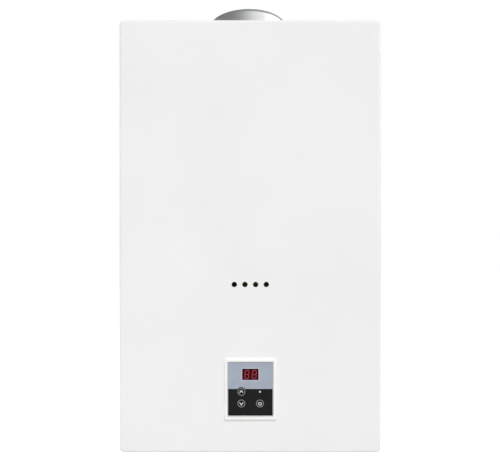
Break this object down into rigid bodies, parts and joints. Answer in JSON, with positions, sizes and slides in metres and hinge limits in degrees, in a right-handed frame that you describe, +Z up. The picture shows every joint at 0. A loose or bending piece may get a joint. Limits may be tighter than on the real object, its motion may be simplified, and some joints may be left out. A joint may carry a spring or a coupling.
{
  "type": "gas water heater",
  "caption": "Wall-hung gas water heater: flat white casing with a round flue collar on top, flame view holes, a small control panel with digit display and press keys, and pipe stubs below.",
  "frame": {"origin": "centre of the back shell's flat wall face", "axes": "+Y into the wall, +Z up, +X to the right as seen from the room; the front faces -Y"},
  "size_m": [0.36, 0.1682, 0.6465],
  "materials": {
    "air_pressure_switch": "moulded",
    "back_shell": "satin white enamel",
    "burner_blades": "satin",
    "burner_frame": "satin",
    "cable_gland": "moulded",
    "chamber_coil": "copper, lightly oxidised",
    "cold_inlet": "machined",
    "cold_pipe": "copper, lightly oxidised",
    "collar_screws": "zinc plated",
    "combustion_chamber": "copper, lightly oxidised",
    "control_board": "solder mask",
    "control_box_base": "moulded",
    "control_box_lid": "moulded",
    "cover_screws": "zinc plated",
    "digit_display": "dark red lens",
    "display_plate": "grey blue film",
    "drain_plug": "moulded",
    "exchanger_fins": "copper, lightly oxidised",
    "exchanger_tubes": "copper, lightly oxidised",
    "exhaust_hood": "satin",
    "fan_impeller": "satin",
    "fan_motor": "black",
    "fan_scroll": "satin",
    "fitting_screws": "zinc plated",
    "flame_sensor": "unglazed",
    "flow_stators": "moulded",
    "flow_turbine": "moulded",
    "flue_collar": "rolled sheet",
    "flue_gasket": "graphite fibre",
    "front_cover": "satin white enamel",
    "gas_inlet": "machined",
    "gas_manifold": "as cast",
    "gas_pipe": "as cast",
    "gas_valve": "as cast",
    "gland_nut": "moulded",
    "hot_outlet": "machined",
    "hot_pipe": "copper, lightly oxidised",
    "ignition_electrode": "unglazed",
    "indicator_lamp": "clear light guide",
    "injector_nozzles": "machined",
    "key_down": "black, printed",
    "key_plate": "black film",
    "key_power": "black, printed",
    "key_switches": "moulded",
    "key_up": "black, printed",
    "modulating_solenoid": "moulded",
    "motor_shaft": "satin",
    "outlet_thermistor": "machined",
    "overheat_cutout": "phenolic",
    "panel_bezel": "white",
    "panel_board": "solder mask",
    "panel_rear_cover": "moulded",
    "panel_screws": "zinc plated",
    "shutoff_solenoid": "moulded",
    "sight_window": "mica",
    "spark_unit": "moulded",
    "support_brackets": "zinc plated",
    "window_frame": "satin"
  },
  "bodies": {
    "heater": {"air_pressure_switch": "air_pressure_switch", "back_shell": "back_shell", "burner_blades": "burner_blades", "burner_frame": "burner_frame", "cable_gland": "cable_gland", "chamber_coil": "chamber_coil", "cold_inlet": "cold_inlet", "cold_pipe": "cold_pipe", "collar_screws": "collar_screws", "combustion_chamber": "combustion_chamber", "control_board": "control_board", "control_box_base": "control_box_base", "control_box_lid": "control_box_lid", "cover_screws": "cover_screws", "digit_display": "digit_display", "display_plate": "display_plate", "exchanger_fins": "exchanger_fins", "exchanger_tubes": "exchanger_tubes", "exhaust_hood": "exhaust_hood", "fan_motor": "fan_motor", "fan_scroll": "fan_scroll", "fitting_screws": "fitting_screws", "flame_sensor": "flame_sensor", "flow_stators": "flow_stators", "flue_collar": "flue_collar", "flue_gasket": "flue_gasket", "front_cover": "front_cover", "gas_inlet": "gas_inlet", "gas_manifold": "gas_manifold", "gas_pipe": "gas_pipe", "gas_valve": "gas_valve", "gland_nut": "gland_nut", "hot_outlet": "hot_outlet", "hot_pipe": "hot_pipe", "ignition_electrode": "ignition_electrode", "indicator_lamp": "indicator_lamp", "injector_nozzles": "injector_nozzles", "key_plate": "key_plate", "key_switches": "key_switches", "modulating_solenoid": "modulating_solenoid", "outlet_thermistor": "outlet_thermistor", "overheat_cutout": "overheat_cutout", "panel_bezel": "panel_bezel", "panel_board": "panel_board", "panel_rear_cover": "panel_rear_cover", "panel_screws": "panel_screws", "shutoff_solenoid": "shutoff_solenoid", "sight_window": "sight_window", "spark_unit": "spark_unit", "support_brackets": "support_brackets", "window_frame": "window_frame"},
    "key_up": {"key_up": "key_up"},
    "key_down": {"key_down": "key_down"},
    "key_power": {"key_power": "key_power"},
    "fan_rotor": {"fan_impeller": "fan_impeller", "motor_shaft": "motor_shaft"},
    "flow_rotor": {"flow_turbine": "flow_turbine"},
    "drain_plug": {"drain_plug": "drain_plug"}
  },
  "joints": [
    {"name": "key_up_press", "type": "slide", "parent": "heater", "child": "key_up", "axis": [0, 1, 0], "range_m": [0, 0.0008], "stiffness_N_per_m": 500},
    {"name": "key_down_press", "type": "slide", "parent": "heater", "child": "key_down", "axis": [0, 1, 0], "range_m": [0, 0.0008], "stiffness_N_per_m": 500},
    {"name": "key_power_press", "type": "slide", "parent": "heater", "child": "key_power", "axis": [0, 1, 0], "range_m": [0, 0.0008], "stiffness_N_per_m": 500},
    {"name": "fan_spin", "type": "hinge", "parent": "heater", "child": "fan_rotor", "pos_m": [0.014, -0.08, 0.2095], "axis": [0, 1, 0], "continuous": true},
    {"name": "flow_spin", "type": "hinge", "parent": "heater", "child": "flow_rotor", "pos_m": [0.11, -0.045, -0.26], "axis": [0, 0, 1], "continuous": true},
    {"name": "drain_turn", "type": "hinge", "parent": "heater", "child": "drain_plug", "pos_m": [0.136, -0.045, -0.3], "axis": [0, 0, -1], "range_deg": [0, 720]}
  ]
}
